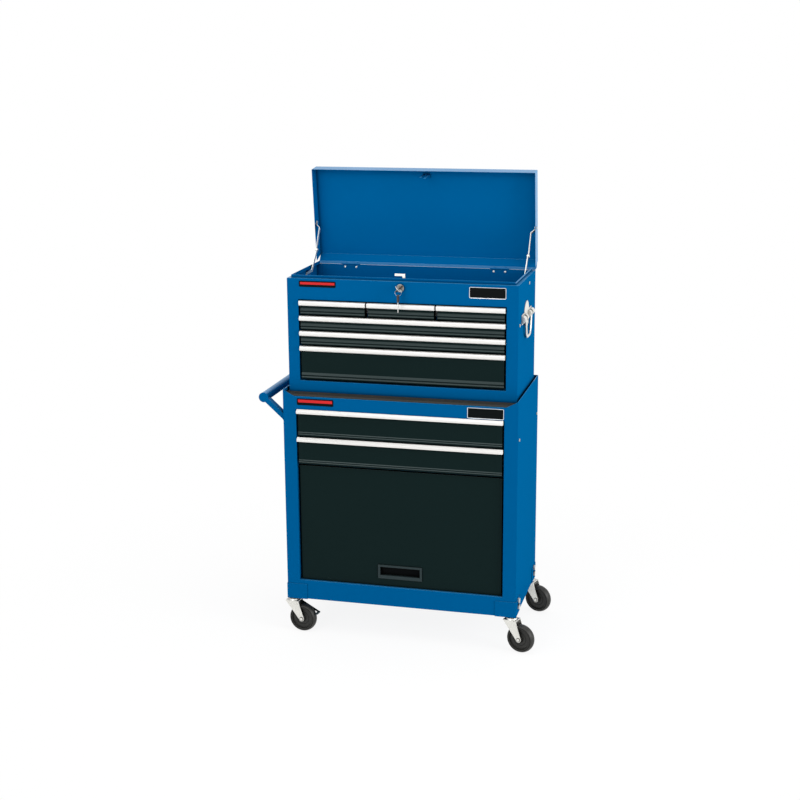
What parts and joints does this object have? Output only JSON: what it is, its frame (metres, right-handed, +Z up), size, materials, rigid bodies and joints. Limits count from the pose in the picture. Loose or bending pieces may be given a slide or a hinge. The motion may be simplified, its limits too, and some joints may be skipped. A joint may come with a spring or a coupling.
{
  "type": "tool cabinet",
  "caption": "Rolling sheet-steel tool cabinet: drawer base with drop-in door and swivel casters, drawer chest on top with hinged lid.",
  "frame": {"origin": "on the floor under the middle of the base cabinet", "axes": "+Z up, drawer fronts face -Y, +X to the right as one faces the drawers"},
  "size_m": [0.7355, 0.3396, 1.2123],
  "materials": {
    "blue_paint": "smooth gloss powder coat",
    "black_paint": "semi-gloss",
    "bright_rail": "bright satin",
    "zinc_steel": "zinc plated",
    "wheel_black": "matt",
    "black_plastic": "fine grain",
    "mat_rubber": "ribbed matt",
    "chrome_lock": "polished",
    "key_steel": "nickel plated"
  },
  "bodies": {
    "cabinet": {"cabinet_front_frame": "blue_paint", "cabinet_side_left": "blue_paint", "cabinet_side_right": "blue_paint", "cabinet_back": "blue_paint", "cabinet_floor": "blue_paint", "cabinet_top": "blue_paint", "top_mat": "mat_rubber", "mid_shelf": "blue_paint", "corner_brackets": "blue_paint", "caster_stems": "zinc_steel", "push_handle": "blue_paint", "slide_rails": "zinc_steel", "body_fasteners": "zinc_steel", "chest_front_frame": "blue_paint", "chest_side_left": "blue_paint", "chest_side_right": "blue_paint", "chest_back": "blue_paint", "chest_floor": "blue_paint", "inner_frame": "blue_paint", "chest_hinge_leaves": "zinc_steel", "side_handle_plates": "zinc_steel"},
    "lid": {"lid": "blue_paint", "lid_hinge_leaves": "blue_paint", "lid_catch": "blue_paint"},
    "stay_upper": {"stay_upper_links": "zinc_steel"},
    "stay_lower": {"stay_lower_links": "zinc_steel"},
    "lock": {"lock_barrel": "chrome_lock", "lock_cam": "zinc_steel", "key": "key_steel"},
    "spare_key": {"spare_key": "key_steel"},
    "bail_left": {"bail_left": "zinc_steel"},
    "bail_right": {"bail_right": "zinc_steel"},
    "door": {"door": "black_paint", "door_pull": "black_plastic"},
    "small_drawer_left": {"small_drawer_left": "black_paint", "small_drawer_left_pull": "bright_rail"},
    "small_drawer_middle": {"small_drawer_middle": "black_paint", "small_drawer_middle_pull": "bright_rail"},
    "small_drawer_right": {"small_drawer_right": "black_paint", "small_drawer_right_pull": "bright_rail"},
    "shallow_drawer_upper": {"shallow_drawer_upper": "black_paint", "shallow_drawer_upper_pull": "bright_rail"},
    "shallow_drawer_lower": {"shallow_drawer_lower": "black_paint", "shallow_drawer_lower_pull": "bright_rail"},
    "deep_drawer": {"deep_drawer": "black_paint", "deep_drawer_pull": "bright_rail"},
    "base_drawer_upper": {"base_drawer_upper": "black_paint", "base_drawer_upper_pull": "bright_rail"},
    "base_drawer_lower": {"base_drawer_lower": "black_paint", "base_drawer_lower_pull": "bright_rail"},
    "caster_front_left": {"caster_fork_front_left": "zinc_steel"},
    "wheel_front_left": {"caster_wheel_front_left": "wheel_black"},
    "caster_front_right": {"caster_fork_front_right": "zinc_steel"},
    "wheel_front_right": {"caster_wheel_front_right": "wheel_black"},
    "caster_rear_left": {"caster_fork_rear_left": "zinc_steel"},
    "wheel_rear_left": {"caster_wheel_rear_left": "wheel_black"},
    "caster_rear_right": {"caster_fork_rear_right": "zinc_steel"},
    "wheel_rear_right": {"caster_wheel_rear_right": "wheel_black"},
    "brake_front_left": {"brake_lever_front_left": "black_plastic"},
    "brake_rear_left": {"brake_lever_rear_left": "black_plastic"}
  },
  "joints": [
    {"name": "lid_hinge", "type": "hinge", "parent": "cabinet", "child": "lid", "pos_m": [0, 0.132, 0.9527], "axis": [1, 0, 0], "range_deg": [0, 83.3]},
    {"name": "stay_lower_pivot", "type": "hinge", "parent": "cabinet", "child": "stay_lower", "pos_m": [0, 0.0315, 0.9352], "axis": [1, 0, 0], "range_deg": [-8.7, 0]},
    {"name": "stay_upper_pivot", "type": "hinge", "parent": "lid", "child": "stay_upper", "pos_m": [0, 0.13312, 1.06319], "axis": [1, 0, 0], "range_deg": [0, 51.83]},
    {"name": "lock_turn", "type": "hinge", "parent": "cabinet", "child": "lock", "pos_m": [0, -0.123, 0.937], "axis": [0, 1, 0], "range_deg": [0, 90]},
    {"name": "spare_key_swing", "type": "hinge", "parent": "cabinet", "child": "spare_key", "pos_m": [0, -0.148, 0.937], "axis": [-1, 0, 0], "range_deg": [0, 160]},
    {"name": "bail_left_swing", "type": "hinge", "parent": "cabinet", "child": "bail_left", "pos_m": [-0.3061, -0.007, 0.858], "axis": [0, 1, 0], "range_deg": [0, 90]},
    {"name": "bail_right_swing", "type": "hinge", "parent": "cabinet", "child": "bail_right", "pos_m": [0.3061, -0.007, 0.858], "axis": [0, -1, 0], "range_deg": [0, 90]},
    {"name": "door_hinge", "type": "hinge", "parent": "cabinet", "child": "door", "pos_m": [0, -0.1446, 0.4596], "axis": [-1, 0, 0], "range_deg": [0, 86]},
    {"name": "small_drawer_left_slide", "type": "slide", "parent": "cabinet", "child": "small_drawer_left", "axis": [0, -1, 0], "range_m": [0, 0.18]},
    {"name": "small_drawer_middle_slide", "type": "slide", "parent": "cabinet", "child": "small_drawer_middle", "axis": [0, -1, 0], "range_m": [0, 0.18]},
    {"name": "small_drawer_right_slide", "type": "slide", "parent": "cabinet", "child": "small_drawer_right", "axis": [0, -1, 0], "range_m": [0, 0.18]},
    {"name": "shallow_drawer_upper_slide", "type": "slide", "parent": "cabinet", "child": "shallow_drawer_upper", "axis": [0, -1, 0], "range_m": [0, 0.18]},
    {"name": "shallow_drawer_lower_slide", "type": "slide", "parent": "cabinet", "child": "shallow_drawer_lower", "axis": [0, -1, 0], "range_m": [0, 0.18]},
    {"name": "deep_drawer_slide", "type": "slide", "parent": "cabinet", "child": "deep_drawer", "axis": [0, -1, 0], "range_m": [0, 0.18]},
    {"name": "base_drawer_upper_slide", "type": "slide", "parent": "cabinet", "child": "base_drawer_upper", "axis": [0, -1, 0], "range_m": [0, 0.24]},
    {"name": "base_drawer_lower_slide", "type": "slide", "parent": "cabinet", "child": "base_drawer_lower", "axis": [0, -1, 0], "range_m": [0, 0.24]},
    {"name": "caster_front_left_swivel", "type": "hinge", "parent": "cabinet", "child": "caster_front_left", "pos_m": [-0.296, -0.143, 0.09], "axis": [0, 0, 1], "continuous": true},
    {"name": "wheel_front_left_roll", "type": "hinge", "parent": "caster_front_left", "child": "wheel_front_left", "pos_m": [-0.26913, -0.14563, 0.0375], "axis": [0.0976, 0.9952, 0], "continuous": true},
    {"name": "brake_front_left_lever", "type": "hinge", "parent": "caster_front_left", "child": "brake_front_left", "pos_m": [-0.28207, -0.14437, 0.0787], "axis": [-0.0976, -0.9952, 0], "range_deg": [0, 15]},
    {"name": "caster_front_right_swivel", "type": "hinge", "parent": "cabinet", "child": "caster_front_right", "pos_m": [0.296, -0.143, 0.09], "axis": [0, 0, 1], "continuous": true},
    {"name": "wheel_front_right_roll", "type": "hinge", "parent": "caster_front_right", "child": "wheel_front_right", "pos_m": [0.32185, -0.1508, 0.0375], "axis": [0.289, 0.9573, 0], "continuous": true},
    {"name": "caster_rear_left_swivel", "type": "hinge", "parent": "cabinet", "child": "caster_rear_left", "pos_m": [-0.296, 0.143, 0.09], "axis": [0, 0, 1], "continuous": true},
    {"name": "wheel_rear_left_roll", "type": "hinge", "parent": "caster_rear_left", "child": "wheel_rear_left", "pos_m": [-0.26926, 0.13924, 0.0375], "axis": [0.1392, 0.9903, 0], "continuous": true},
    {"name": "brake_rear_left_lever", "type": "hinge", "parent": "caster_rear_left", "child": "brake_rear_left", "pos_m": [-0.28214, 0.14105, 0.0787], "axis": [-0.1392, -0.9903, 0], "range_deg": [0, 15]},
    {"name": "caster_rear_right_swivel", "type": "hinge", "parent": "cabinet", "child": "caster_rear_right", "pos_m": [0.296, 0.143, 0.09], "axis": [0, 0, 1], "continuous": true},
    {"name": "wheel_rear_right_roll", "type": "hinge", "parent": "caster_rear_right", "child": "wheel_rear_right", "pos_m": [0.32147, 0.13403, 0.0375], "axis": [0.3322, 0.9432, 0], "continuous": true}
  ],
  "couplings": [
    {"joint": "stay_lower_pivot", "follows": "lid_hinge", "ratio": -0.10431},
    {"joint": "stay_upper_pivot", "follows": "lid_hinge", "ratio": 0.62156},
    {"joint": "spare_key_swing", "follows": "small_drawer_middle_slide", "rad_per_m": 14.2}
  ]
}
